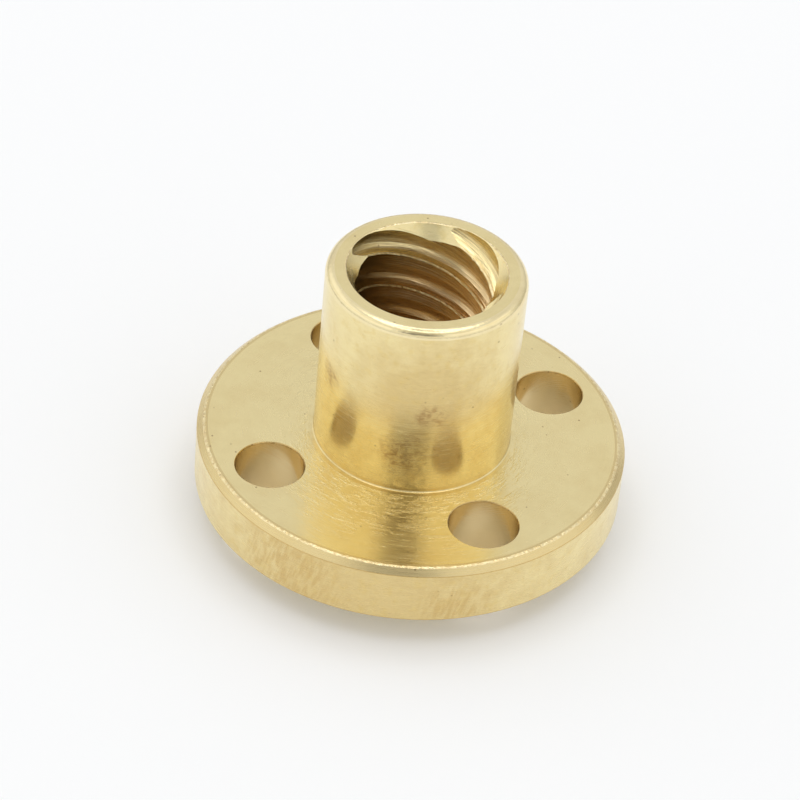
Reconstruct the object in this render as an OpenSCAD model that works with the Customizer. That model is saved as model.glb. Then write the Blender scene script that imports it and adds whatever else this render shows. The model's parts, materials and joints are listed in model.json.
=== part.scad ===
// Flanged lead screw nut for a four-start trapezoidal screw of 8 mm.
// One turned piece: a flange with a bolt circle, a tall hub on one side of it,
// a short locating stub on the other, and a bore with a countersink at each end.
// The bore is the hole that the nut has before it is tapped, and its wall is where
// the ridges of the thread lie. The grooves of the thread are not cut in this solid.
// Millimetres. +Z is the screw axis; the stub's end face is at z = 0.

/* [Flange] */
// Diameter of the round flange
flange_d = 22; // [21:0.5:40]
// Thickness of the flange
flange_t = 3.4; // [2:0.1:8]
// Width of the 45 degree chamfer on the flange rim, on the hub side
rim_chamfer = 0.35; // [0.1:0.05:0.8]
// Width of the small edge break on the flange rim, on the stub side
rim_edge_break = 0.25; // [0.1:0.05:0.8]

/* [Hub] */
// Outside diameter of the hub and of the stub
hub_d = 10.1; // [9.5:0.1:11]
// Height of the hub above the flange
hub_h = 10.1; // [5:0.1:25]
// Height of the locating stub below the flange
stub_h = 1.5; // [1:0.1:6]
// Width of the edge break on the two ends of the hub
hub_edge_break = 0.2; // [0.05:0.05:0.4]
// Radius that the tool's nose leaves where the hub and the stub meet the flange
corner_r = 0.15; // [0.05:0.05:0.4]

/* [Bore] */
// Diameter of the bore, which is the diameter across the ridges of the thread
bore_d = 6.8; // [6.4:0.1:7.2]
// Diameter of the countersink at each end face
mouth_d = 8.15; // [7.65:0.05:8.6]
// Slope of the countersink away from the axis, in degrees
mouth_angle = 45; // [30:5:60]

/* [Bolt holes] */
// Number of holes on the bolt circle
bolt_count = 4; // [3:1:6]
// Diameter of the bolt circle
bolt_circle_d = 16; // [15.5:0.1:16.5]
// Diameter of each clearance hole
bolt_hole_d = 3.5; // [2.5:0.1:3.8]

/* [Hidden] */

$fn = 96;
flange_z = stub_h;
face_z = flange_z + flange_t;
total_h = face_z + hub_h;
mouth_depth = (mouth_d - bore_d) / 2 / tan(mouth_angle);
// How far each cutting shape runs past the faces it cuts through
overrun = 1;
// Angle between two corners of a small fillet
fillet_turn = 15;
brass = "#dcc88f";

// Turned outline of the nut, from the axis outwards
module turned_blank() {
    hub_r = hub_d / 2;
    flange_r = flange_d / 2;
    stub_end = [[0, 0], [hub_r - hub_edge_break, 0], [hub_r, hub_edge_break]];
    under_corner = [for (a = [90 : -fillet_turn : 0])
        [hub_r + corner_r * (1 - sin(a)), flange_z - corner_r * (1 - cos(a))]];
    rim = [
        [flange_r - rim_edge_break, flange_z],
        [flange_r, flange_z + rim_edge_break],
        [flange_r, face_z - rim_chamfer],
        [flange_r - rim_chamfer, face_z]
    ];
    upper_corner = [for (a = [0 : fillet_turn : 90])
        [hub_r + corner_r * (1 - sin(a)), face_z + corner_r * (1 - cos(a))]];
    hub_end = [[hub_r, total_h - hub_edge_break], [hub_r - hub_edge_break, total_h], [0, total_h]];
    color(brass)
    rotate_extrude()
    polygon(concat(stub_end, under_corner, rim, upper_corner, hub_end));
}

// Bore from end to end, at the diameter across the ridges of the thread
module thread_bore() {
    color(brass)
    translate([0, 0, -overrun])
    cylinder(d = bore_d, h = total_h + 2 * overrun);
}

// Cone that opens the bore at one end face
module countersink() {
    color(brass)
    translate([0, 0, -overrun])
    cylinder(d1 = mouth_d + 2 * overrun * tan(mouth_angle), d2 = bore_d,
             h = mouth_depth + overrun);
}

// Clearance holes through the flange, at even steps round the bolt circle
module bolt_holes() {
    color(brass)
    for (i = [0 : bolt_count - 1])
    rotate(360 * (i + 0.5) / bolt_count)
    translate([bolt_circle_d / 2, 0, flange_z - overrun])
    cylinder(d = bolt_hole_d, h = flange_t + 2 * overrun);
}

module nut() {
    difference() {
        turned_blank();
        thread_bore();
        countersink();
        translate([0, 0, total_h])
        mirror([0, 0, 1])
        countersink();
        bolt_holes();
    }
}

nut();
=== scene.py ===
# %% [markdown]
# # A flanged lead screw nut, turned from brass
#
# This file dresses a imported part: a round brass nut with a flange, a tall hub, a short
# stub and a steep four-start thread. It is written as a lesson. Each step says what the
# real object has there, how it could be made, and why this way was chosen.
#
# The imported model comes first, because every position and size is taken from it.
# The record that comes with it names the faces that other parts touch, so the radii and
# the heights are read from there. Lengths in this file are in millimetres until a mesh
# is made, because that is how such a part is drawn.

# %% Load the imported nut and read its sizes
import json
import math
import random
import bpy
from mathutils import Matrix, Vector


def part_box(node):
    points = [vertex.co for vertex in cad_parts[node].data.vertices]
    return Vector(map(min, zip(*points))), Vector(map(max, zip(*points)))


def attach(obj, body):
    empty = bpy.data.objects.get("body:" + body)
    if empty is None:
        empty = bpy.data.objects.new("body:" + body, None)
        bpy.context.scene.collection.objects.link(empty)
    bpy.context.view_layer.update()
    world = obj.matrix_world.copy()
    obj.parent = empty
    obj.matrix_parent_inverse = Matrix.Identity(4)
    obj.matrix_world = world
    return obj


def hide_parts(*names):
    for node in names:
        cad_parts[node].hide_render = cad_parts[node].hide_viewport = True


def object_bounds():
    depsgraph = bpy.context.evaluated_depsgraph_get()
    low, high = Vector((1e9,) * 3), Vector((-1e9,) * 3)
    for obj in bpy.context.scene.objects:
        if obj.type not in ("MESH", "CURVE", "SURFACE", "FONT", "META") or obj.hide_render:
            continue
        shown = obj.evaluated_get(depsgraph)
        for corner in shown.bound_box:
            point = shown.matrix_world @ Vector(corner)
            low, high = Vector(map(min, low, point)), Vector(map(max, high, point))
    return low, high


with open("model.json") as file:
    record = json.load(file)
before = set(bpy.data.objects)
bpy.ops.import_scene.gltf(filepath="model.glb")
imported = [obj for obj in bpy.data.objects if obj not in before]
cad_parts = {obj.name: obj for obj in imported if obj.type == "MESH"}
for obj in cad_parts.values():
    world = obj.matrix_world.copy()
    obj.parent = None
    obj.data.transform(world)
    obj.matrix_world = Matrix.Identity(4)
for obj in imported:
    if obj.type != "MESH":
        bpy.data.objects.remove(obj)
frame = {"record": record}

from types import SimpleNamespace

import bpy
import numpy as np
from mathutils import Quaternion, Vector
from mathutils.geometry import delaunay_2d_cdt

MM = 0.001
cad_low, cad_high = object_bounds()
mounts = {m["name"]: m for m in frame["record"]["mounts"]}


def mount_size(name, what):
    return mounts[name]["dims"][what]


def mount_height(name):
    return mounts[name]["pos_m"][2] / MM


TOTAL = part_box("nut")[1].z / MM
# A packed circle is a polygon, so some sides of its box lie a little nearer the axis than
# others. The nearest one gives the radius here, and the dressed nut stays inside them all.
FLANGE_R = min(abs(side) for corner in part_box("nut") for side in corner.xy) / MM
UNDER_Z = mount_height("flange_stub_side")
FACE_Z = mount_height("flange_hub_side")
HUB_R = mount_size("hub_outside", "r_mm")
RIDGE_R = mount_size("screw_thread", "r_mm")
MOUTH_DEPTH = (TOTAL - mount_size("screw_thread", "length_mm")) / 2
BOLT_CIRCLE_R = mount_size("bolts", "pcd_mm") / 2
BOLT_HOLE_R = mount_size("bolts", "hole_r_mm")
BOLT_COUNT = mount_size("bolts", "count")
print(f"nut: {2 * FLANGE_R:.2f} mm across, {TOTAL:.2f} mm tall, hub radius {HUB_R} mm")

# %% [markdown]
# ## A mesh that is built ring by ring
#
# A lathe makes surfaces of revolution: a profile that is swept round an axis. A modifier
# could do the sweep, but then the exact direction in which each face looks is guessed
# from its neighbours, and polished metal shows every such guess as a dent. So the mesh
# is written out here. Each face is stored with the normal at each of its
# corners, which is known from the profile, and the reflections come out clean.
#
# Points are shared wherever two surfaces meet, so the nut is one closed skin. Each face
# also remembers how it was cut, because that decides its finish later on.

# %% A place to collect points, faces and normals
SIDES = 256
points = []
faces = []
normals = []
finishes = []
rings = {}


def add_point(x, y, z):
    points.append((x * MM, y * MM, z * MM))
    return len(points) - 1


def add_face(corners, directions, finish):
    faces.append(corners)
    normals.extend(directions)
    finishes.append(finish)


def ring(radius, height):
    """The points of one full circle round the axis, made once and then shared."""
    key = (round(radius, 4), round(height, 4))
    if key not in rings:
        turns = [2 * math.pi * i / SIDES for i in range(SIDES)]
        rings[key] = [
            add_point(radius * math.cos(t), radius * math.sin(t), height) for t in turns
        ]
    return rings[key]


print(f"a full circle has {SIDES} sides, {2 * math.pi * FLANGE_R / SIDES:.2f} mm long at the rim")

# %% [markdown]
# ## Rounding the corners of a profile
#
# No turned corner is a true knife edge. A tool or a deburring stone leaves a small round
# there, and that round is what catches the light as a bright line. The profile is
# written as a few corners, each with the radius of its round, and one helper replaces
# each corner by a short arc. It returns every point with the direction that the surface
# faces, which is to the right of the way the profile runs. A corner without a round gives
# two points in one place, each with the direction of its own side, and so it stays sharp.

# %% A helper that rounds the corners of a profile
def rounded(corners, arc_steps=5):
    """Corners are (x, y, round). Gives (x, y, nx, ny), with the normal on the right."""
    made = []
    spots = [Vector(c[:2]) for c in corners]

    def add(spot, along):
        made.append((spot.x, spot.y, along.y, -along.x))

    for i, spot in enumerate(spots):
        before = (spot - spots[i - 1]).normalized() if i else None
        after = (spots[i + 1] - spot).normalized() if i + 1 < len(spots) else None
        if before is None or after is None:
            add(spot, after or before)
            continue
        bend = before.angle_signed(after)
        reach = corners[i][2] * math.tan(abs(bend) / 2)
        if reach == 0:
            add(spot, before)
            add(spot, after)
            continue
        start = spot - before * reach
        side = Vector((before.y, -before.x)) * (1 if bend > 0 else -1)
        centre = start + side * corners[i][2]
        for k in range(arc_steps + 1):
            turn = -bend * k / arc_steps
            cos, sin = math.cos(turn), math.sin(turn)
            arm = start - centre
            arm = Vector((arm.x * cos - arm.y * sin, arm.x * sin + arm.y * cos))
            along = Vector((before.x * cos - before.y * sin, before.x * sin + before.y * cos))
            add(centre + arm, along)
    return made


trial = rounded([(0, 0, 0), (1, 0, 0.2), (1, 1, 0)])
print(f"one round corner between two straight sides: {len(trial)} points")

# %% [markdown]
# ## The outside of the nut
#
# The outside is cut in three passes on the lathe: the stub, the rim of the flange, and
# the hub. Between them lie flat faces, which have holes in them and are made apart.
# Each pass runs upwards, so the surface faces away from the axis.
#
# The rim has a clear chamfer on the hub's side and only a broken edge below. Where the
# hub and the stub meet the flange, the round nose of the tool leaves a small fillet.
# Handling has rubbed the end of the hub, so its edge is wide and soft, and it carries the
# brightest line on the whole nut, which its paler colour partly paints as a painted highlight.
#
# Each pass also takes a narrow strip of the flat beside it, the land. The land is wider
# than the round next to it reaches, because faces fold over where it isn't.

# %% Turn the stub, the rim and the hub
HUB_EDGE = 0.27  # width of the broken edge at the hub's end
RIM_CHAMFER = 0.35  # width of the chamfer on the rim, on the hub's side
RIM_EDGE = 0.25  # width of the broken edge on the rim, on the stub's side
NOSE_R = 0.09  # radius that the nose of the tool leaves
SOFT = 0.06  # round of a corner that was only deburred
RIM_SOFT = 0.2  # round between the rim's chamfer and the flat
HUB_SOFT = 0.42  # round of the rubbed edge at the hub's end
LAND = 0.2  # width of the flat that belongs to a pass
TINY = 1e-6  # shorter than any real length here


def turn(profile, finish):
    """Sweeps a rounded profile round the axis. Its rounds get the finish of an edge."""
    for (r0, z0, nr0, nz0), (r1, z1, nr1, nz1) in zip(profile, profile[1:]):
        if math.hypot(r1 - r0, z1 - z0) < TINY:
            continue
        is_round = abs(nr0 - nr1) + abs(nz0 - nz1) > TINY
        on_nose = r0 > HUB_R + TINY and r1 < HUB_R + 2 * NOSE_R
        here = finish
        if is_round and not on_nose:
            upper_edge = "lip" if finish == "turned" else "edge"
            here = "seam" if z0 < FACE_Z - RIM_CHAMFER / 2 else upper_edge
        elif finish == "rim" and z0 > FACE_Z - RIM_CHAMFER - SOFT:
            here = "bevel"
        low, high = ring(r0, z0), ring(r1, z1)
        for i in range(SIDES):
            j = (i + 1) % SIDES
            ways = []
            for k, nr, nz in ((i, nr0, nz0), (j, nr0, nz0), (j, nr1, nz1), (i, nr1, nz1)):
                t = 2 * math.pi * k / SIDES
                ways.append((nr * math.cos(t), nr * math.sin(t), nz))
            add_face((low[i], low[j], high[j], high[i]), ways, here)


stub = rounded([
    (HUB_R - HUB_EDGE - LAND, 0, 0),
    (HUB_R - HUB_EDGE, 0, SOFT),
    (HUB_R, HUB_EDGE, SOFT),
    (HUB_R, UNDER_Z, NOSE_R),
    (HUB_R + NOSE_R + LAND, UNDER_Z, 0),
])
rim = rounded([
    (FLANGE_R - RIM_EDGE - LAND, UNDER_Z, 0),
    (FLANGE_R - RIM_EDGE, UNDER_Z, SOFT),
    (FLANGE_R, UNDER_Z + RIM_EDGE, SOFT),
    (FLANGE_R, FACE_Z - RIM_CHAMFER, SOFT),
    (FLANGE_R - RIM_CHAMFER, FACE_Z, RIM_SOFT),
    (FLANGE_R - RIM_CHAMFER - LAND, FACE_Z, 0),
])
hub = rounded([
    (HUB_R + NOSE_R + LAND, FACE_Z, 0),
    (HUB_R, FACE_Z, NOSE_R),
    (HUB_R, TOTAL - HUB_EDGE, HUB_SOFT),
    (HUB_R - HUB_EDGE, TOTAL, HUB_SOFT),
    (HUB_R - HUB_EDGE - LAND, TOTAL, 0),
])
for profile, finish in ((stub, "turned"), (rim, "rim"), (hub, "turned")):
    turn(profile, finish)
print(f"turned outside: {len(faces)} faces in {len(rings)} rings")

# %% [markdown]
# ## The four-start thread
#
# The thread is what makes this part a lead screw nut. Four grooves run side by side, so
# one turn of the screw moves the nut by four ridges. A boolean cut with a twisted shape
# could make it, but such a cut leaves long thin faces that reflect badly.
#
# A groove keeps its cross-section all along its helix. So the whole bore is one grid.
# Its columns follow the helix: each column is one spot on the groove's profile and
# keeps its radius from end to end. Its rows go from one mouth to the other. Where a
# column leaves through the cone at a mouth is then a simple sum, and the crease between
# thread and cone falls exactly on a row.

# %% One groove's profile, from ridge to ridge
STARTS = 4
PITCH = 2.0
LEAD = STARTS * PITCH
GROOVE_R = 4.05  # radius at the bottom of the grooves
RIDGE_FLAT = 0.65  # width of a ridge's crest, along the axis
FLANK = math.radians(15)  # lean of a groove's side, half of the 30 degrees of this thread form
ROOT_ROUND = 0.5
RIDGE_ROUND = 0.05
GROOVE_TURN = math.radians(77)  # where the first groove comes out at the hub's end
COLUMN_GAP = 0.06  # widest step between two columns

opening = (PITCH - RIDGE_FLAT) / 2
bottom = opening - (GROOVE_R - RIDGE_R) * math.tan(FLANK)
profile = rounded([
    (-PITCH / 2, RIDGE_R, 0),
    (-opening, RIDGE_R, RIDGE_ROUND),
    (-bottom, GROOVE_R, ROOT_ROUND),
    (bottom, GROOVE_R, ROOT_ROUND),
    (opening, RIDGE_R, RIDGE_ROUND),
    (PITCH / 2, RIDGE_R, 0),
], arc_steps=6)
groove = []
for (w0, r0, *_), (w1, r1, *_) in zip(profile, profile[1:]):
    pieces_here = max(1, math.ceil(math.hypot(w1 - w0, r1 - r0) / COLUMN_GAP))
    for k in range(pieces_here):
        groove.append((w0 + (w1 - w0) * k / pieces_here, r0 + (r1 - r0) * k / pieces_here))
columns = [(w + PITCH * start, r) for start in range(STARTS) for w, r in groove]
print(f"thread profile: {len(groove)} columns a groove, {len(columns)} in all")

# %% [markdown]
# ## Burrs along the ridges
#
# The tap tears the brass a little where it leaves the metal. The upper edge of each
# ridge carries a row of tiny burrs, and the crease where the grooves run out into the
# cone is a little uneven. Both are far too small to measure, but they break up the
# highlights. Seeded random draws give each edge its own row, the same at every run.

# %% Build the bore as one grid
THREAD_ROWS = 280
CONE_ROWS = 3
CONE_LIP = 0.06  # height of the last, rounded row at the mouth
BURR = 0.06  # scale of the burrs' heights
BURR_MEAN, BURR_SPREAD = 0.1, 0.6  # so that four rows in ten have no burr at all
BURR_WIDTH = 0.05  # how far from the ridge's corner a burr reaches, along the axis
BURR_DEPTH = 0.08  # how far down the flank it reaches
BURR_FADE = 4  # rows over which the burrs fade out at each end
CREASE = 0.018  # how uneven the crease is
END_GAP = 0.012  # what is left of the cone where the grooves run out, at least
draw = random.Random(8)


def burr_row(count, height):
    return [height * max(0.0, draw.gauss(BURR_MEAN, BURR_SPREAD)) for _ in range(count)]


def edge_share(w, r):
    """How much of the burr a column takes: all of it on the ridge's upper edge."""
    place = (w + PITCH / 2) % PITCH - PITCH / 2
    near = abs(place + opening)
    on_crest = r < RIDGE_R + BURR_DEPTH
    return max(0.0, 1 - near / BURR_WIDTH) if on_crest else 0.0


burrs = [burr_row(THREAD_ROWS + 1, BURR) for _ in range(STARTS)]
creases = [draw.uniform(-1, 1) * CREASE for _ in columns]
grid = []
for j, (w, r) in enumerate(columns):
    burr = burrs[j // len(groove)]
    share = edge_share(w, r)
    run_out = r - RIDGE_R
    z_low = MOUTH_DEPTH - run_out - abs(creases[j])
    z_high = TOTAL - MOUTH_DEPTH + run_out + creases[j]
    z_low = max(z_low, END_GAP)
    z_high = min(z_high, TOTAL - END_GAP)
    column = []
    for k in range(CONE_ROWS):
        z = z_low * k / CONE_ROWS
        column.append((RIDGE_R + MOUTH_DEPTH - z, z))
    for k in range(THREAD_ROWS + 1):
        z = z_low + (z_high - z_low) * k / THREAD_ROWS
        fade = min(1.0, k / BURR_FADE, (THREAD_ROWS - k) / BURR_FADE)
        column.append((r - burr[k] * share * fade, z))
    for k in range(CONE_ROWS):
        z = z_high + (TOTAL - z_high) * (k + 1) / CONE_ROWS
        if k == CONE_ROWS - 2:
            z = TOTAL - min(CONE_LIP, (TOTAL - z_high) / 2)
        column.append((RIDGE_R + z - (TOTAL - MOUTH_DEPTH), z))
    turned_by = [GROOVE_TURN + (z - TOTAL - w) * 2 * math.pi / LEAD for _, z in column]
    grid.append([
        (radius * math.cos(t), radius * math.sin(t), z)
        for t, (radius, z) in zip(turned_by, column)
    ])
bore = np.array(grid)
print(f"bore grid: {bore.shape[0]} columns by {bore.shape[1]} rows")

# %% [markdown]
# ## The skin of the bore
#
# A helix has no profile to take its normals from, so they come from the grid's own
# slopes: along a column and across to the next one. A cone's normals are simpler, since
# they all lean at 45 degrees to the axis. The two are worked out apart, so that the crease
# between thread and cone stays sharp.
#
# Which of its two sides a slope faces depends on the order of the points. One row well
# inside the bore tells: there the normals have to face the axis. The last row of the
# upper cone faces straight up, so that the edge of the mouth looks rounded.

# %% Give the bore its faces
TEST_ROW = 10  # a row well inside the bore
BURR_SHOWS = 0.1  # share of a burr from which a strip of the ridge gets the paler edge colour, a painted highlight


def grid_normals(patch):
    across = np.roll(patch, -1, 0) - np.roll(patch, 1, 0)
    along = np.gradient(patch, axis=1)
    cross = np.cross(along, across)
    return cross / np.linalg.norm(cross, axis=2, keepdims=True)


def cone_normals(patch, up):
    flat = patch.copy()
    flat[:, :, 2] = 0
    inward = -flat / np.linalg.norm(flat, axis=2, keepdims=True)
    inward[:, :, 2] = up
    return inward / np.linalg.norm(inward, axis=2, keepdims=True)


first, last = CONE_ROWS, CONE_ROWS + THREAD_ROWS
wall = grid_normals(bore[:, first:last + 1])
if (wall[:, TEST_ROW, :2] * bore[:, first + TEST_ROW, :2]).sum() > 0:
    wall = -wall
mouth_low = cone_normals(bore[:, :first + 1], -1)
mouth_high = cone_normals(bore[:, last:], 1)
mouth_high[:, -1] = (0, 0, 1)
bore_points = [[add_point(*spot) for spot in column] for column in bore]
for j in range(len(columns)):
    n = (j + 1) % len(columns)
    on_burr = edge_share(*columns[j]) > BURR_SHOWS
    for k in range(bore.shape[1] - 1):
        if k < first:
            field, a, finish = mouth_low, k, "turned"
        elif k < last:
            field, a, finish = wall, k - first, "edge" if on_burr else "tapped"
        else:
            at_lip = k == bore.shape[1] - 2
            field, a, finish = mouth_high, k - last, "edge" if at_lip else "turned"
        here, beside = bore_points[j], bore_points[n]
        corners = (here[k], beside[k], beside[k + 1], here[k + 1])
        ways = [field[j, a], field[n, a], field[n, a + 1], field[j, a + 1]]
        add_face(corners, [tuple(w) for w in ways], finish)
low_mouth = [column[0] for column in bore_points]
high_mouth = [column[-1] for column in bore_points]
print(f"bore: {len(columns) * (bore.shape[1] - 1)} faces, {MOUTH_DEPTH:.3f} mm of cone at each end")

# %% [markdown]
# ## Bolt holes and flat faces
#
# The holes are drilled straight through the flange, and a light touch with a
# countersink takes off the burr at each end. Their walls are strips like the others,
# only round their own centres.
#
# A flat face with holes is easy to cut with a boolean, but a triangulation that knows
# the edges is cleaner. It takes the circles as they are, so the face shares every point
# with its neighbours. Triangles whose corners all lie on one inner circle fill a hole,
# and they are left out.

# %% Drill the holes and fill the flat faces
HOLE_SIDES = 72
HOLE_EDGE = 0.05  # width of the broken edge at each end of a hole
WELD = 1e-7  # in millimetres: nearer points count as one in a flat face
ALL_TRIANGLES = 0  # the kind of triangulation that leaves nothing out


def drill(x, y):
    """One bolt hole. Gives its circle of points on the lower and on the upper face."""
    wall_profile = rounded([
        (BOLT_HOLE_R + HOLE_EDGE, UNDER_Z, 0),
        (BOLT_HOLE_R, UNDER_Z + HOLE_EDGE, SOFT),
        (BOLT_HOLE_R, FACE_Z - HOLE_EDGE, SOFT),
        (BOLT_HOLE_R + HOLE_EDGE, FACE_Z, 0),
    ], arc_steps=3)
    loops = []
    for r, z, *_ in wall_profile:
        loops.append([
            add_point(x + r * math.cos(t), y + r * math.sin(t), z)
            for t in (2 * math.pi * i / HOLE_SIDES for i in range(HOLE_SIDES))
        ])
    for a in range(len(loops) - 1):
        for i in range(HOLE_SIDES):
            j = (i + 1) % HOLE_SIDES
            ways = []
            for k, (_, _, nr, nz) in (
                (j, wall_profile[a]), (i, wall_profile[a]),
                (i, wall_profile[a + 1]), (j, wall_profile[a + 1]),
            ):
                t = 2 * math.pi * k / HOLE_SIDES
                ways.append((-nr * math.cos(t), -nr * math.sin(t), -nz))
            corners = (loops[a][j], loops[a][i], loops[a + 1][i], loops[a + 1][j])
            deep = UNDER_Z + HOLE_EDGE < wall_profile[a][1] + SOFT < FACE_Z - HOLE_EDGE
            add_face(corners, ways, "drilled" if deep else "seam")
    return loops[0], loops[-1]


def flat_face(outer, inner_loops, up):
    """Fills the flat face between one outer circle and the circles inside it."""
    loops = [outer, *inner_loops]
    owner = [k for k, loop in enumerate(loops) for _ in loop]
    index = [i for loop in loops for i in loop]
    flat = [Vector((points[i][0] / MM, points[i][1] / MM)) for i in index]
    edges, start = [], 0
    for loop in loops:
        edges += [(start + i, start + (i + 1) % len(loop)) for i in range(len(loop))]
        start += len(loop)
    spots, _, triangles, origins, _, _ = delaunay_2d_cdt(
        flat, edges, [], ALL_TRIANGLES, WELD)
    source = [o[0] for o in origins]
    for triangle in triangles:
        own = {owner[source[i]] for i in triangle}
        if len(own) == 1 and own != {0}:
            continue
        a, b, c = (spots[i] for i in triangle)
        turns_left = (b - a).cross(c - a) > 0
        order = triangle if turns_left == (up > 0) else triangle[::-1]
        add_face(tuple(index[source[i]] for i in order), [(0, 0, up)] * 3, "faced")


bolt_holes = []
for i in range(BOLT_COUNT):
    angle = 2 * math.pi * (i + 0.5) / BOLT_COUNT
    bolt_holes.append(drill(BOLT_CIRCLE_R * math.cos(angle), BOLT_CIRCLE_R * math.sin(angle)))
flat_face(ring(*rim[0][:2]), [ring(*stub[-1][:2]), *(low for low, _ in bolt_holes)], -1)
flat_face(ring(*rim[-1][:2]), [ring(*hub[0][:2]), *(high for _, high in bolt_holes)], 1)
flat_face(ring(*stub[0][:2]), [low_mouth], -1)
flat_face(ring(*hub[-1][:2]), [high_mouth], 1)
print(f"whole nut: {len(points)} points, {len(faces)} faces")

# %% [markdown]
# ## One object from all the faces
#
# The lists become one mesh. It stands for the imported solid and rides on the same body.
# Its normals are the ones worked out above. The list of finishes gives each way of cutting
# its own material, which is made further down.

# %% Make the nut's object
mesh = bpy.data.meshes.new("nut_dressed")
mesh.from_pydata(points, [], faces)
mesh.shade_smooth()
FINISHES = ["turned", "rim", "bevel", "lip", "edge", "seam", "faced", "drilled", "tapped"]
mesh.polygons.foreach_set("material_index", [FINISHES.index(f) for f in finishes])
mesh.normals_split_custom_set(normals)
nut = bpy.data.objects.new("nut_dressed", mesh)
bpy.context.scene.collection.objects.link(nut)
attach(nut, "root")
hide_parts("nut")
print(f"mesh: {sum(len(f) - 2 for f in faces)} triangles")

# %% [markdown]
# ## Brass
#
# The nut is free-machining brass, left as it came from the lathe. Copper and zinc
# together reflect red and green well and blue much less, which gives the eye a pale
# gold. Where the metal sees itself, as between hub and flange, the light is tinted
# twice, and the gold turns deeper. That needs no second colour.
#
# The metal is the same everywhere. What differs is how it was cut and what is left on
# it. The flats were faced last and are the palest. The front of the hub and the rim is
# painted warmer, a painted reflection of the shaded table in front of it. Deep in the
# thread the gold is painted towards amber, as painted shade in the bore.
#
# One colour for all of it would be the quick way, but then the nut would look like a
# casting. So each colour below is named for what it is on the metal, or for the light or
# shade that it paints. They are written as the hex values that a screen shows, and one
# function turns them into the linear values that the renderer counts with.

# %% Colours of the brass
def linear(hex_colour):
    channels = [int(hex_colour[i:i + 2], 16) / 255 for i in (1, 3, 5)]
    return (*(c / 12.92 if c <= 0.04045 else ((c + 0.055) / 1.055) ** 2.4 for c in channels), 1)


BRASS = linear("#f4e3ac")  # clean, as the tool leaves it
SHADED_BEVEL = linear("#e2cd96")  # the rim's chamfer, painted darker than the flat as painted shade
REAMED = linear("#f4dfaf")  # the walls of the bolt holes
RUBBED_AND_HIGHLIGHT = linear("#f8e8b8")  # edges that are rubbed bright, and painted paler as a painted highlight
TARNISH = linear("#d3b476")  # thin brown oxide
FRONT_REFLECTION_TINT = linear("#e1c98e")  # painted reflection: the front tinted warmer, as the shaded table before it
GOLDEN = linear("#e2c474")  # mottled spots on the turned walls
SMUDGE = linear("#94683c")  # dirt and swarf dust
PIT = linear("#7a5432")  # dirt in a small hole
DRAWN = linear("#a5854f")  # metal that the tap has smeared along a groove
DEEP_BORE_SHADE = linear("#edd09e")  # painted shade: brass made warmer and darker deep in the bore
print("clean brass in linear light:", [round(c, 3) for c in BRASS[:3]])

# %% [markdown]
# ### One helper for every node
#
# A material is a graph. Each node takes some inputs and gives some outputs. It could be
# clicked together by hand, or written down with one call for each node, socket and link.
# One function is shorter: it adds a node of any kind. An input is either a plain value or
# the output of an earlier node, which then gets linked.
#
# The kind that is used most here is MapRange. Its list reads: a value, the two ends of the
# range that counts, and the results at these ends. Beyond them the result stays as it is.
# Most of a noise lies between 0.3 and 0.7, so a narrow range near 0.5 cuts it into clear
# spots, and a wide one leaves soft clouds.

# %% The node helper
def add_node(tree, kind, inputs=(), **settings):
    """Adds one node. Inputs go by name or number in a dict, or in the node's order in a list."""
    node = tree.nodes.new(kind)
    for name, value in settings.items():
        setattr(node, name, value)
    pairs = inputs.items() if isinstance(inputs, dict) else enumerate(inputs)
    for key, value in pairs:
        if isinstance(value, bpy.types.NodeSocket):
            tree.links.new(value, node.inputs[key])
        else:
            node.inputs[key].default_value = value
    return node


# %% [markdown]
# ### Where a point lies on the lathe
#
# A lathe tool leaves rings: marks that are fine across the cut and long round the axis.
# So the pattern is sampled at a made-up place: the direction round the axis, hardly
# stretched, and the distance across the cut, stretched a lot. On a flat face that
# distance is the radius and on a wall it is the height. One sum of the two serves both.
# It serves a chamfer as well, since the height counts for more than the radius, and so
# the two never cancel on a slope of 45 degrees. A UV map could carry the rings too, but it
# would have seams, and a turned surface has none.
#
# In the thread the marks follow the helix instead. Turning every point back by its own
# height's share of the lead lays the whole helix flat, and the same idea works there.

# %% Places for the patterns
HEIGHT_SHARE = -1.7  # how much the height counts against the radius


def new_skin(name):
    """An empty material, the places that its patterns are drawn at, and room for its layers."""
    material = bpy.data.materials.new(name)
    material.use_nodes = True
    tree = material.node_tree
    tree.nodes.clear()
    place = add_node(tree, "ShaderNodeTexCoord").outputs["Object"]
    mm = add_node(tree, "ShaderNodeVectorMath", {"Vector": place, "Scale": 1 / MM},
                  operation="SCALE").outputs[0]
    x, y, z = add_node(tree, "ShaderNodeSeparateXYZ", [mm]).outputs
    level = add_node(tree, "ShaderNodeVectorMath", [mm, (1, 1, 0)],
                     operation="MULTIPLY").outputs[0]
    radius = add_node(tree, "ShaderNodeVectorMath", [level], operation="LENGTH").outputs["Value"]
    way = add_node(tree, "ShaderNodeVectorMath", [level], operation="NORMALIZE").outputs[0]
    return SimpleNamespace(material=material, tree=tree, mm=mm, x=x, y=y, z=z,
                           radius=radius, way=way, tints=[], bumps=[])


def ring_place(skin, marks, round_scale):
    """Where tool rings are sampled. marks: how many there are in a millimetre."""
    tree = skin.tree
    around = add_node(tree, "ShaderNodeVectorMath", {"Vector": skin.way, "Scale": round_scale},
                      operation="SCALE").outputs[0]
    down = add_node(tree, "ShaderNodeMath", [skin.z, HEIGHT_SHARE, skin.radius],
                    operation="MULTIPLY_ADD").outputs[0]
    cut = add_node(tree, "ShaderNodeMath", [down, marks], operation="MULTIPLY").outputs[0]
    rise = add_node(tree, "ShaderNodeCombineXYZ", {"Z": cut}).outputs[0]
    return add_node(tree, "ShaderNodeVectorMath", [around, rise], operation="ADD").outputs[0]


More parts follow.
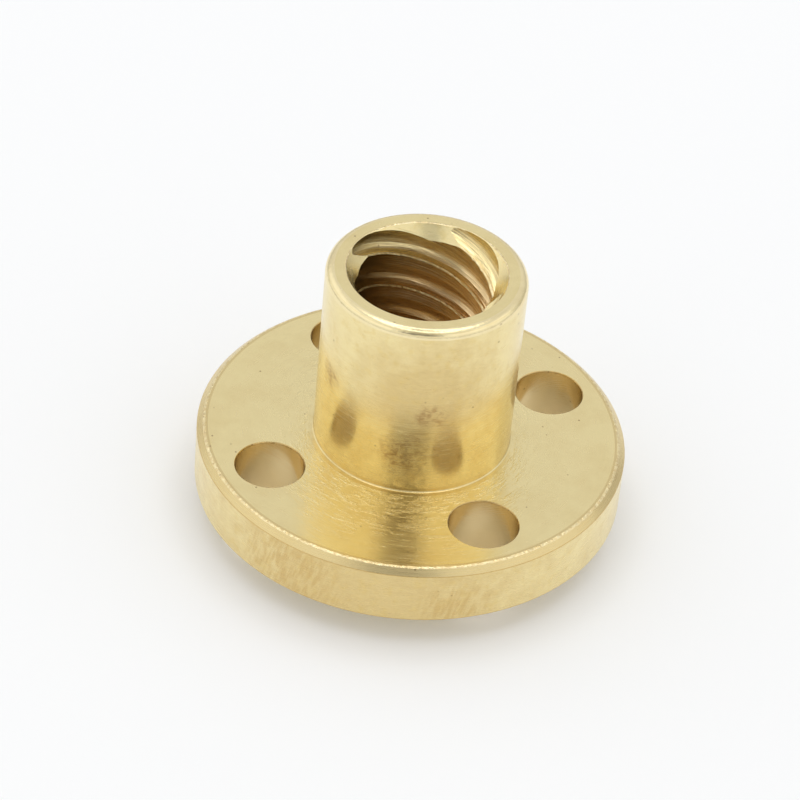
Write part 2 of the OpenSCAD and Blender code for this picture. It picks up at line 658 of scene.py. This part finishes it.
def helix_place(skin, marks, round_scale):
    """The same for marks that run along the thread."""
    tree = skin.tree
    back = add_node(tree, "ShaderNodeMath", [skin.z, -2 * math.pi / LEAD],
                    operation="MULTIPLY").outputs[0]
    flat = add_node(tree, "ShaderNodeVectorRotate", {"Vector": skin.mm, "Angle": back},
                    rotation_type="Z_AXIS").outputs[0]
    return add_node(tree, "ShaderNodeVectorMath", [flat, (marks, marks, round_scale)],
                    operation="MULTIPLY").outputs[0]


print(f"the thread turns once in {LEAD:.0f} mm")

# %% [markdown]
# ### Tarnish and pits
#
# Brass doesn't tarnish evenly. Where the air or a finger has worked on it, broad brown
# clouds appear, and in them the eye finds a few dark points: small holes in the metal
# that have caught dirt. They could be painted, but a noise reaches every face alike and
# needs no picture. One slow noise serves both, so the pits lie in the clouds.
#
# Each pattern from here on adds a tint, which is a colour and how much of it there is at
# each point, and the finish lays the tints over each other in the end.

# %% Tarnish and pits
CLOUDS = 0.45  # in a millimetre, so that a cloud is about 2 mm wide
PIT_CELLS = 1.3  # in a millimetre: each cell may hold one pit
PIT_CORE, PIT_RIM = 0.04, 0.08  # radius of a pit, as a share of its cell


def tarnish_and_pits(skin):
    """Adds the clouds, and gives the pits, which lie over everything else."""
    tree = skin.tree
    cloud = add_node(tree, "ShaderNodeTexNoise", {
        "Vector": skin.mm, "Scale": CLOUDS, "Detail": 4.0, "Roughness": 0.65}).outputs["Fac"]
    stain = add_node(tree, "ShaderNodeMapRange", [cloud, 0.45, 0.75, 0.0, 0.22]).outputs[0]
    skin.tints.append((TARNISH, stain))
    cells = add_node(tree, "ShaderNodeTexVoronoi", {
        "Vector": skin.mm, "Scale": PIT_CELLS}).outputs["Distance"]
    spot = add_node(tree, "ShaderNodeMapRange", [cells, PIT_CORE, PIT_RIM, 0.7, 0.0]).outputs[0]
    clouded = add_node(tree, "ShaderNodeMapRange", [cloud, 0.46, 0.52, 0.0, 1.0]).outputs[0]
    return add_node(tree, "ShaderNodeMath", [spot, clouded], operation="MULTIPLY").outputs[0]


print(f"a cloud is {1 / CLOUDS:.1f} mm wide, and a pit is {2 * PIT_RIM / PIT_CELLS:.2f} mm")

# %% [markdown]
# ### Marks that sit in one place
# Some marks are not all over the nut. The front of the hub and of the rim is painted
# warmer, a painted reflection of the shaded table in front of it. Both are mottled, and
# dirt has settled in small brown dashes that follow the tool rings. On two stretches of
# the rim the tool chattered and left a comb of short slanting strokes. A mask could be
# painted for each. It is simpler to place such an area by its radius, its angle and its
# height on the nut, and to fade it out with the distance from there. A noise makes its
# border ragged, because a clean circle would look painted on.

# %% Where the front is painted warmer, where the dirt sits and where the tool chattered
# Each row is a radius, an angle in degrees, a height and a size, in millimetres.
# The first list is where the front is painted warmer: a painted reflection of the shaded table.
PAINTED_FRONT_AREAS = [(HUB_R, -70, 11.0, 4.7), (FLANGE_R, -82, 3.0, 12.0)]
SMUDGES = [(HUB_R, -77, 7.3, 1.8), (HUB_R, -133, 10.0, 0.9), (HUB_R, -66, 9.8, 0.9)]
CHATTER = [(FLANGE_R, -104, 2.9, 3.8), (FLANGE_R, -60, 2.6, 2.2)]
AREA_CORE, AREA_RIM = 0.8, 1.5  # where an area starts to fade and where it ends, in its size
RAGGED = 1.1  # in a millimetre: how fine its border is frayed


def near_areas(skin, areas):
    """1 in the middle of each area and 0 outside it."""
    tree = skin.tree
    ragged = add_node(tree, "ShaderNodeTexNoise", {
        "Vector": skin.mm, "Scale": RAGGED, "Detail": 4.0, "Roughness": 0.6}).outputs["Fac"]
    total = 0.0
    for r, degrees, z, size in areas:
        turned = math.radians(degrees)
        middle = (r * math.cos(turned), r * math.sin(turned), z)
        away = add_node(tree, "ShaderNodeVectorMath", [skin.mm, middle],
                        operation="DISTANCE").outputs["Value"]
        away = add_node(tree, "ShaderNodeMath", [ragged, size, away],
                        operation="MULTIPLY_ADD").outputs[0]
        share = add_node(tree, "ShaderNodeMapRange", [
            away, size * AREA_CORE, size * AREA_RIM, 1.0, 0.0]).outputs[0]
        total = add_node(tree, "ShaderNodeMath", [total, share], operation="MAXIMUM").outputs[0]
    return total


print(f"areas: {len(PAINTED_FRONT_AREAS)} painted_front, {len(SMUDGES)} smudged and {len(CHATTER)} chattered")

# %% Painted reflection on the front, and dirt
DIRT_EVERYWHERE = 0.15  # how dirty the painted front is away from the smudges
MOTTLE = 2.0  # in a millimetre
DASHES = 2.6, 13  # across the rings in a millimetre, and how often they break up


def front_reflection_and_dirt(skin):
    """Adds a warmer front, a painted reflection of the shaded table, mottles, and brown dashes of
    dirt.
    """
    tree = skin.tree
    front_share = near_areas(skin, PAINTED_FRONT_AREAS)
    # Painted reflection: the front is tinted warmer where it faces the shaded table.
    warm_reflection = add_node(tree, "ShaderNodeMapRange", [front_share, 0.0, 1.0, 0.0, 0.9]).outputs[0]
    spots = add_node(tree, "ShaderNodeTexNoise", {
        "Vector": skin.mm, "Scale": MOTTLE, "Detail": 4.0, "Roughness": 0.6}).outputs["Fac"]
    mottle = add_node(tree, "ShaderNodeMapRange", [spots, 0.52, 0.66, 0.0, 0.25]).outputs[0]
    dashes = add_node(tree, "ShaderNodeTexNoise", {
        "Vector": ring_place(skin, *DASHES), "Scale": 1.0, "Detail": 5.0,
        "Roughness": 0.75}).outputs["Fac"]
    specks = add_node(tree, "ShaderNodeMapRange", [dashes, 0.45, 0.6, 0.14, 0.6]).outputs[0]
    dirty = add_node(tree, "ShaderNodeMath", [
        front_share, DIRT_EVERYWHERE, near_areas(skin, SMUDGES)],
        operation="MULTIPLY_ADD", use_clamp=True).outputs[0]
    smudge = add_node(tree, "ShaderNodeMath", [specks, dirty], operation="MULTIPLY").outputs[0]
    skin.tints += [(FRONT_REFLECTION_TINT, warm_reflection), (GOLDEN, mottle), (SMUDGE, smudge)]


print(f"dirt: a row of dashes every {1 / DASHES[0]:.2f} mm")

# %% Chatter on the rim
CHATTER_STEP = 0.22  # from one stroke to the next
CHATTER_SLANT = -0.25  # how far a stroke moves sideways in a millimetre of height
CHATTER_DEPTH = 0.008  # in millimetres, as every depth here


def chattered(skin):
    """Adds slanting strokes side by side, each about as long as the rim is high."""
    tree = skin.tree
    turned = add_node(tree, "ShaderNodeMath", [skin.y, skin.x], operation="ARCTAN2").outputs[0]
    along = add_node(tree, "ShaderNodeMath", [turned, FLANGE_R / CHATTER_STEP],
                     operation="MULTIPLY").outputs[0]
    slanted = add_node(tree, "ShaderNodeMath", [skin.z, CHATTER_SLANT / CHATTER_STEP, along],
                       operation="MULTIPLY_ADD").outputs[0]
    place = add_node(tree, "ShaderNodeCombineXYZ", {"X": slanted, "Z": skin.z}).outputs[0]
    comb = add_node(tree, "ShaderNodeTexNoise", {
        "Vector": place, "Scale": 1.0, "Detail": 1.0, "Roughness": 0.6}).outputs["Fac"]
    comb = add_node(tree, "ShaderNodeMapRange", [comb, 0.4, 0.6, 0.0, 1.0]).outputs[0]
    strokes = add_node(tree, "ShaderNodeMath", [comb, near_areas(skin, CHATTER)],
                       operation="MULTIPLY").outputs[0]
    worn = add_node(tree, "ShaderNodeMapRange", [strokes, 0.0, 1.0, 0.0, 0.65]).outputs[0]
    skin.tints.append((TARNISH, worn))
    skin.bumps.append((strokes, CHATTER_DEPTH))


print(f"chatter: a stroke every {CHATTER_STEP} mm, {CHATTER_DEPTH} mm deep")

# %% [markdown]
# ### Torn rings close to the hub
#
# A facing tool cuts slower as it comes to the hub, rubs there, and tears the surface. What
# it leaves are coarse, broken rings, which make the reflections on the flat ripple. They
# fade out towards the rim. Between them the metal is a little uneven, like orange peel,
# and on a torn ring it is duller. All of it is far shallower than a hair is thick, so a
# bump is enough and the mesh stays flat.

# %% Torn rings
TORN_DEPTH = 0.021
PEEL_DEPTH = 0.004
PEEL = 2.4  # bumps in a millimetre
TORN_DULL = 0.13  # how much rougher a torn ring is
TORN_RINGS = 3.5, 7.0  # in a millimetre, and how often they break up
FULLY_TORN, HARDLY_TORN = HUB_R + 0.5, HUB_R + 5.0  # radii between which the rings fade out
OFF_HUB = 0.05  # the hub's own wall is left out, up to this far from it


def torn(skin):
    """Adds broken rings and an uneven surface, strongest at the hub."""
    tree = skin.tree
    outward = add_node(tree, "ShaderNodeMapRange", [
        skin.radius, FULLY_TORN, HARDLY_TORN, 1.0, 0.15]).outputs[0]
    off_hub = add_node(tree, "ShaderNodeMapRange", [
        skin.radius, HUB_R, HUB_R + OFF_HUB, 0.0, 1.0]).outputs[0]
    close = add_node(tree, "ShaderNodeMath", [outward, off_hub], operation="MULTIPLY").outputs[0]
    arcs = add_node(tree, "ShaderNodeTexNoise", {
        "Vector": ring_place(skin, *TORN_RINGS), "Scale": 1.0, "Detail": 4.0,
        "Roughness": 0.7}).outputs["Fac"]
    arcs = add_node(tree, "ShaderNodeMapRange", [arcs, 0.46, 0.7, 0.0, 1.0]).outputs[0]
    arcs = add_node(tree, "ShaderNodeMath", [arcs, close], operation="MULTIPLY").outputs[0]
    peel = add_node(tree, "ShaderNodeTexNoise", {
        "Vector": skin.mm, "Scale": PEEL, "Detail": 3.0, "Roughness": 0.6}).outputs["Fac"]
    peel = add_node(tree, "ShaderNodeMath", [peel, close], operation="MULTIPLY").outputs[0]
    skin.bumps += [(arcs, TORN_DEPTH), (peel, PEEL_DEPTH)]
    skin.gloss = add_node(tree, "ShaderNodeMath", [arcs, TORN_DULL, skin.gloss],
                          operation="MULTIPLY_ADD").outputs[0]


print(f"torn rings: {TORN_DEPTH} mm deep at the hub")

# %% [markdown]
# ### What the tap leaves in the thread
#
# A tap doesn't shave the brass as cleanly as a lathe tool. It smears some of it along the
# grooves, so the thread is full of dull brown streaks that follow the helix. Near the
# ridges, where the tap pressed hardest, there are most of them. From the mouths inwards
# the colour is painted warmer and darker, as painted shade deep in the bore.

# %% Streaks and painted shade in the thread
STREAK_R = 3.55  # inside this radius the fine streaks are at their strongest
BROAD_STREAKS = 1.9, 0.3  # across the helix and along it, in a millimetre
OIL_FULL = 3.5  # depth at which the painted shade is complete


def drawn(skin):
    """Adds fine streaks that fade towards the bottom of the grooves, and broad faint ones."""
    tree = skin.tree
    streaks = add_node(tree, "ShaderNodeMapRange", [skin.cut, 0.44, 0.58, 0.0, 0.7]).outputs[0]
    on_ridge = add_node(tree, "ShaderNodeMapRange", [
        skin.radius, STREAK_R, GROOVE_R, 1.0, 0.15]).outputs[0]
    fine = add_node(tree, "ShaderNodeMath", [streaks, on_ridge], operation="MULTIPLY").outputs[0]
    broad = add_node(tree, "ShaderNodeTexNoise", {
        "Vector": helix_place(skin, *BROAD_STREAKS), "Scale": 1.0, "Detail": 4.0,
        "Roughness": 0.7}).outputs["Fac"]
    broad = add_node(tree, "ShaderNodeMapRange", [broad, 0.5, 0.62, 0.0, 0.25]).outputs[0]
    skin.tints += [(DRAWN, fine), (DRAWN, broad)]


def shaded_deeper(skin):
    """Adds painted shade, warmer and darker deeper in the bore, complete a few millimetres inside
    each mouth.
    """
    tree = skin.tree
    middle = add_node(tree, "ShaderNodeMath", [skin.z, TOTAL / 2],
                      operation="SUBTRACT").outputs[0]
    from_middle = add_node(tree, "ShaderNodeMath", [middle], operation="ABSOLUTE").outputs[0]
    deep_shade = add_node(tree, "ShaderNodeMapRange", [
        from_middle, TOTAL / 2 - MOUTH_DEPTH, TOTAL / 2 - OIL_FULL, 0.0, 1.0]).outputs[0]
    skin.tints.append((DEEP_BORE_SHADE, deep_shade))


print(f"bore_shade: from {MOUTH_DEPTH:.2f} mm to {OIL_FULL} mm inside each mouth")

# %% [markdown]
# ### Knocks on the edges
#
# Nuts lie loose in a box and knock against each other, and the edges take most of it. The
# eye sees a bright line that is broken by small duller spots. They could be dents in the
# mesh, but such an edge is a tenth of a millimetre wide, and a change of colour is enough.

# %% Knocked edges
KNOCKS = 6.0  # in a millimetre along an edge


def knocked(skin):
    """Adds small dull spots."""
    spots = add_node(skin.tree, "ShaderNodeTexNoise", {
        "Vector": skin.mm, "Scale": KNOCKS, "Detail": 3.0, "Roughness": 0.6}).outputs["Fac"]
    dull = add_node(skin.tree, "ShaderNodeMapRange", [spots, 0.44, 0.56, 0.0, 0.5]).outputs[0]
    skin.tints.append((TARNISH, dull))


print(f"knocks: about one in every {1 / KNOCKS:.2f} mm")

# %% [markdown]
# ### The recipe
#
# A finish starts with the marks of its own tool. They give it a fine relief and make it
# now glossier, now duller. Then come the tarnish, whatever else that surface carries, and
# last the pits. The tints are laid over each other in that order, and the bumps are
# stacked, each on the normal that the last one gives.
#
# A finishing cut leaves about twenty rings in a millimetre, which is too fine to show.
# So they are drawn at less than half that number, as coarse as they need to be.
#
# Tiny rings also change how a highlight spreads: across them it is wide, and along them
# it stays narrow. That is anisotropy. The tangent runs round the axis, and a quarter turn
# puts the wide side across the marks, so the hub blurs its reflections up and down.

# %% A brass finish
GRAIN = 4.0  # bumps in a millimetre, where a surface is a little rough
QUARTER_TURN = 0.25


def brass(name, base, marks, round_scale, depth, roughness, stretch=0.0,
          place=ring_place, extras=(), grain=0.0):
    """marks: tool marks per mm. round_scale: how often they break up. depth and grain: in mm."""
    skin = new_skin(name)
    tree = skin.tree
    skin.cut = add_node(tree, "ShaderNodeTexNoise", {
        "Vector": place(skin, marks, round_scale), "Scale": 1.0, "Detail": 3.0,
        "Roughness": 0.6}).outputs["Fac"]
    skin.gloss = add_node(tree, "ShaderNodeMapRange", [
        skin.cut, 0.3, 0.7, roughness * 0.8, roughness * 1.25]).outputs[0]
    skin.bumps.append((skin.cut, depth))
    pits = tarnish_and_pits(skin)
    for extra in extras:
        extra(skin)
    if grain:
        uneven = add_node(tree, "ShaderNodeTexNoise", {
            "Vector": skin.mm, "Scale": GRAIN, "Detail": 3.0, "Roughness": 0.6}).outputs["Fac"]
        skin.bumps.append((uneven, grain))
    skin.tints.append((PIT, pits))

    colour = base
    for tint, share in skin.tints:
        colour = add_node(tree, "ShaderNodeMix", {0: share, 6: colour, 7: tint},
                          data_type="RGBA").outputs[2]
    relief = {}
    for height, distance in skin.bumps:
        bump = add_node(tree, "ShaderNodeBump", {
            "Strength": 1.0, "Distance": distance * MM, "Height": height, **relief})
        relief = {"Normal": bump.outputs[0]}
    round_axis = add_node(tree, "ShaderNodeTangent", direction_type="RADIAL", axis="Z").outputs[0]
    shader = add_node(tree, "ShaderNodeBsdfPrincipled", {
        "Base Color": colour, "Metallic": 1.0, "Roughness": skin.gloss,
        "Anisotropic": stretch, "Anisotropic Rotation": QUARTER_TURN,
        "Tangent": round_axis, **relief})
    add_node(tree, "ShaderNodeOutputMaterial", [shader.outputs[0]])
    return skin.material


# %% [markdown]
# ### Nine ways that the brass was cut
#
# A metal keeps the index of refraction that the shader starts with, because its colour
# already says how it reflects. So a finish differs from the next one in its tool marks,
# its roughness, how much it stretches a highlight, and what lies on it.

# %% The finishes
recipes = {
    # The hub and the stub: a smooth turned wall, warm at the front as a painted reflection.
    # The eye sees a soft upright gradient, because the rings blur everything up and down.
    "turned": brass("turned_brass", BRASS, marks=9, round_scale=4, depth=0.0012,
                    roughness=0.23, stretch=0.55, extras=[front_reflection_and_dirt]),
    # The rim: the same cut, a little rougher, with the combs that chatter leaves.
    "rim": brass("rim_brass", BRASS, marks=9, round_scale=5, depth=0.0015,
                 roughness=0.25, stretch=0.5, extras=[front_reflection_and_dirt, chattered]),
    # The rim's chamfer: one pass with the side of a tool, duller, and darker as painted shade.
    "bevel": brass("bevel_brass", SHADED_BEVEL, marks=9, round_scale=5, depth=0.0015,
                   roughness=0.28, stretch=0.5),
    # The end of the hub: rubbed smooth, so it carries one long bright line, partly a painted
    # highlight.
    "lip": brass("rubbed_lip_brass", RUBBED_AND_HIGHLIGHT, marks=6, round_scale=20, depth=0.004,
                 roughness=0.22, grain=0.012),
    # The other upper edges, and the burrs: a bright line that is broken up, partly a painted
    # highlight.
    "edge": brass("burnished_edge_brass", RUBBED_AND_HIGHLIGHT, marks=6, round_scale=30, depth=0.004,
                  roughness=0.3, extras=[knocked], grain=0.08),
    # Lower edges and the ends of the holes: painted darker, so they read as thin lines.
    "seam": brass("worn_seam_brass", TARNISH, marks=6, round_scale=30, depth=0.004,
                  roughness=0.3, grain=0.05),
    # The flat faces: broken rings that ripple the reflection of the hub.
    "faced": brass("faced_brass", BRASS, marks=8, round_scale=7, depth=0.0015,
                   roughness=0.22, stretch=0.5, extras=[torn]),
    # The bolt holes: fine rings from the drill. They mirror each other, which looks deep.
    "drilled": brass("drilled_brass", REAMED, marks=8, round_scale=8, depth=0.006,
                     roughness=0.2),
    # The thread: streaks along the helix, and painted shade deeper in the bore.
    "tapped": brass("tapped_brass", BRASS, marks=5, round_scale=0.5, depth=0.035,
                    roughness=0.2, stretch=0.3, place=helix_place, extras=[drawn, shaded_deeper],
                    grain=0.004),
}
for finish in FINISHES:
    mesh.materials.append(recipes[finish])
print("finishes:", ", ".join(m.name for m in mesh.materials))

# %% [markdown]
# ## The table it stands on
#
# Small bright parts are usually shown in a light tent: a white table and white cloth all
# round. Polished metal has no look of its own without such surroundings, because all
# that it shows is what it reflects. The table is one large sheet of white paper. It is
# matt, and it glows very faintly, as paper does when light comes through it from below.
# More lamps would whiten it as well, but they would also bleach the nut. Only the camera
# and mirrored rays see the glow, so it reaches the table and the table's image in the
# metal, and the nut's shadow stays.

# %% Table
TABLE_HALF = 1.2  # in metres
PAPER = linear("#f9fafb")
PAPER_GLOW = 0.12
PAPER_ROUGHNESS = 0.9
sheet = bpy.data.meshes.new("table")
sheet.from_pydata([(-TABLE_HALF, -TABLE_HALF, 0), (TABLE_HALF, -TABLE_HALF, 0),
                   (TABLE_HALF, TABLE_HALF, 0), (-TABLE_HALF, TABLE_HALF, 0)],
                  [], [(0, 1, 2, 3)])
table = bpy.data.objects.new("table", sheet)
table.location.z = cad_low.z
bpy.context.scene.collection.objects.link(table)
paper = bpy.data.materials.new("white_paper")
paper.use_nodes = True
tree = paper.node_tree
tree.nodes.clear()
plain = add_node(tree, "ShaderNodeBsdfPrincipled", {
    "Base Color": PAPER, "Roughness": PAPER_ROUGHNESS})
shown = add_node(tree, "ShaderNodeBsdfPrincipled", {
    "Base Color": (*(c * (1 - PAPER_GLOW) for c in PAPER[:3]), 1), "Roughness": PAPER_ROUGHNESS,
    "Emission Color": (1, 1, 1, 1), "Emission Strength": PAPER_GLOW})
ray = add_node(tree, "ShaderNodeLightPath").outputs
seen = ray["Is Camera Ray"]
for other in (ray["Is Glossy Ray"], ray["Is Transmission Ray"]):
    seen = add_node(tree, "ShaderNodeMath", [seen, other], operation="MAXIMUM").outputs[0]
both = add_node(tree, "ShaderNodeMixShader", [seen, plain.outputs[0], shown.outputs[0]])
add_node(tree, "ShaderNodeOutputMaterial", [both.outputs[0]])
sheet.materials.append(paper)
print(f"table: {2 * TABLE_HALF} m wide, at height {table.location.z / MM:.2f} mm")

# %% [markdown]
# ## The camera
#
# A short lens close by would make the near edge of the flange bulge. A small part looks
# true to its form through a long lens from some way off, where near and far edges keep
# almost the same scale. The camera looks down at about 40 degrees, which shows the top of
# the flange, the side of the hub and into the bore.

# %% Camera
CAMERA_AT = Vector((33.858, -127.809, 113.797)) * MM
CAMERA_LOOK = Vector((-0.20316, 0.74987, -0.62962)).normalized()
CAMERA_ROLL = math.radians(5.5664)
camera_data = bpy.data.cameras.new("camera")
camera_data.sensor_width = 36
camera_data.lens = 150.545
camera_data.clip_start, camera_data.clip_end = 0.01, 10
camera = bpy.data.objects.new("camera", camera_data)
camera.location = CAMERA_AT
camera.rotation_mode = "QUATERNION"
rolled = Quaternion((0, 0, 1), CAMERA_ROLL)
camera.rotation_quaternion = CAMERA_LOOK.to_track_quat("-Z", "Y") @ rolled
bpy.context.scene.collection.objects.link(camera)
bpy.context.scene.camera = camera
bpy.context.scene.view_settings.view_transform = "Standard"
dip = math.degrees(-math.asin(CAMERA_LOOK.z))
print(f"camera: {CAMERA_AT.length / MM:.0f} mm away, looking {dip:.0f} degrees down")

# %% [markdown]
# ## The light tent
#
# Area lamps could light the nut, but polished metal would show each of them as a hard
# square. So the tent is the world's colour. It needs no geometry and casts no hard shadow.
# Its brightness is set by height alone at first: dim at the table, an even cloth above, a
# ring of lamps near the top, and plain cloth again at the very top, so that a flat face
# seen from straight above doesn't mirror a lamp. A window adds light on the camera's side
# and on both flanks. The cloth behind the nut stays dimmer, and the flats mirror that, so
# they keep their gold.
#
# One dark shape stands on the camera's side, as wide as a person with a camera, and
# narrower towards its top. The hub and the flange mirror it as a dark upright band, and
# without it the metal would look flat. It belongs to the room, not to the view: it stays
# in its place when the nut is seen from elsewhere.
#
# Heights in the tent are written as the sine of the angle above the table, because that
# is simply the third coordinate of a direction.

# %% Light tent
CAMERA_AZIMUTH = math.radians(-75.2)
LAMP_LEVEL = 2.2
# Each pair is a height and how bright the cloth is there.
CLOTH = [(0.0, 0.35), (0.2, 0.64), (0.4, 0.72), (0.64, 0.76), (0.79, 0.66), (0.88, 0.82),
         (0.93, LAMP_LEVEL), (0.965, LAMP_LEVEL), (0.985, 0.66), (1.0, 0.5)]
world = bpy.data.worlds.new("light_tent")
bpy.context.scene.world = world
world.use_nodes = True
tree = world.node_tree
tree.nodes.clear()
way = add_node(tree, "ShaderNodeTexCoord").outputs["Generated"]
up = add_node(tree, "ShaderNodeSeparateXYZ", [way]).outputs["Z"]
cloth = add_node(tree, "ShaderNodeValToRGB", [up])
ramp = cloth.color_ramp
ramp.interpolation = "EASE"
for height, _ in CLOTH[1:-1]:
    ramp.elements.new(height)
for element, (_, level) in zip(ramp.elements, CLOTH):
    element.color = (level, level, level, 1)
print("cloth:", ", ".join(f"{e.position:.3f} at {e.color[0]:.2f}" for e in ramp.elements))

# %% Window and dark shape
TENT_LEVEL = 1.06  # all of the cloth, times its own brightness
WINDOW_LEVEL = 0.39  # what the window adds to that
WINDOW_TURN = math.radians(16)  # how far its middle is turned from the camera's side
DARK_LEVEL = 0.2  # what is left of the light in the dark shape


def toward(azimuth):
    """How well a direction in the tent agrees with a level one: 1 where they are the same."""
    aim = (math.cos(azimuth), math.sin(azimuth), 0)
    return add_node(tree, "ShaderNodeVectorMath", [way, aim],
                    operation="DOT_PRODUCT").outputs["Value"]


# The window lights everything but the cloth behind the nut, and it ends below the lamps.
lit = add_node(tree, "ShaderNodeMapRange", [
    toward(CAMERA_AZIMUTH - WINDOW_TURN), -0.58, -0.5, 0.0, WINDOW_LEVEL]).outputs[0]
below_lamps = add_node(tree, "ShaderNodeMapRange", [up, 0.68, 0.8, 1.0, 0.0]).outputs[0]
window = add_node(tree, "ShaderNodeMath", [lit, below_lamps], operation="MULTIPLY").outputs[0]
light = add_node(tree, "ShaderNodeMath", [window, TENT_LEVEL], operation="ADD").outputs[0]

# The dark shape is where all four of these are 1: near the middle of the camera's side,
# in front of the nut, high enough to be a person, and not far up.
sideways = add_node(tree, "ShaderNodeMath", [toward(CAMERA_AZIMUTH + math.pi / 2)],
                    operation="ABSOLUTE").outputs[0]
narrower = add_node(tree, "ShaderNodeMapRange", [up, 0.6, 0.8, 0.0, 0.2]).outputs[0]
aside = add_node(tree, "ShaderNodeMath", [sideways, narrower], operation="ADD").outputs[0]
within = add_node(tree, "ShaderNodeMapRange", [aside, 0.31, 0.38, 1.0, 0.0]).outputs[0]
in_front = add_node(tree, "ShaderNodeMapRange", [
    toward(CAMERA_AZIMUTH), 0.2, 0.35, 0.0, 1.0]).outputs[0]
high_enough = add_node(tree, "ShaderNodeMapRange", [up, 0.34, 0.44, 0.0, 1.0]).outputs[0]
low_enough = add_node(tree, "ShaderNodeMapRange", [up, 0.66, 0.79, 1.0, 0.4]).outputs[0]
dark = within
for share in (high_enough, low_enough, in_front):
    dark = add_node(tree, "ShaderNodeMath", [dark, share], operation="MULTIPLY").outputs[0]
left = add_node(tree, "ShaderNodeMapRange", [dark, 0.0, 1.0, 1.0, DARK_LEVEL]).outputs[0]

strength = add_node(tree, "ShaderNodeMath", [light, left], operation="MULTIPLY").outputs[0]
tent = add_node(tree, "ShaderNodeBackground", [cloth.outputs[0], strength])
add_node(tree, "ShaderNodeOutputWorld", [tent.outputs[0]])
print(f"light tent: {len(tree.nodes)} nodes")
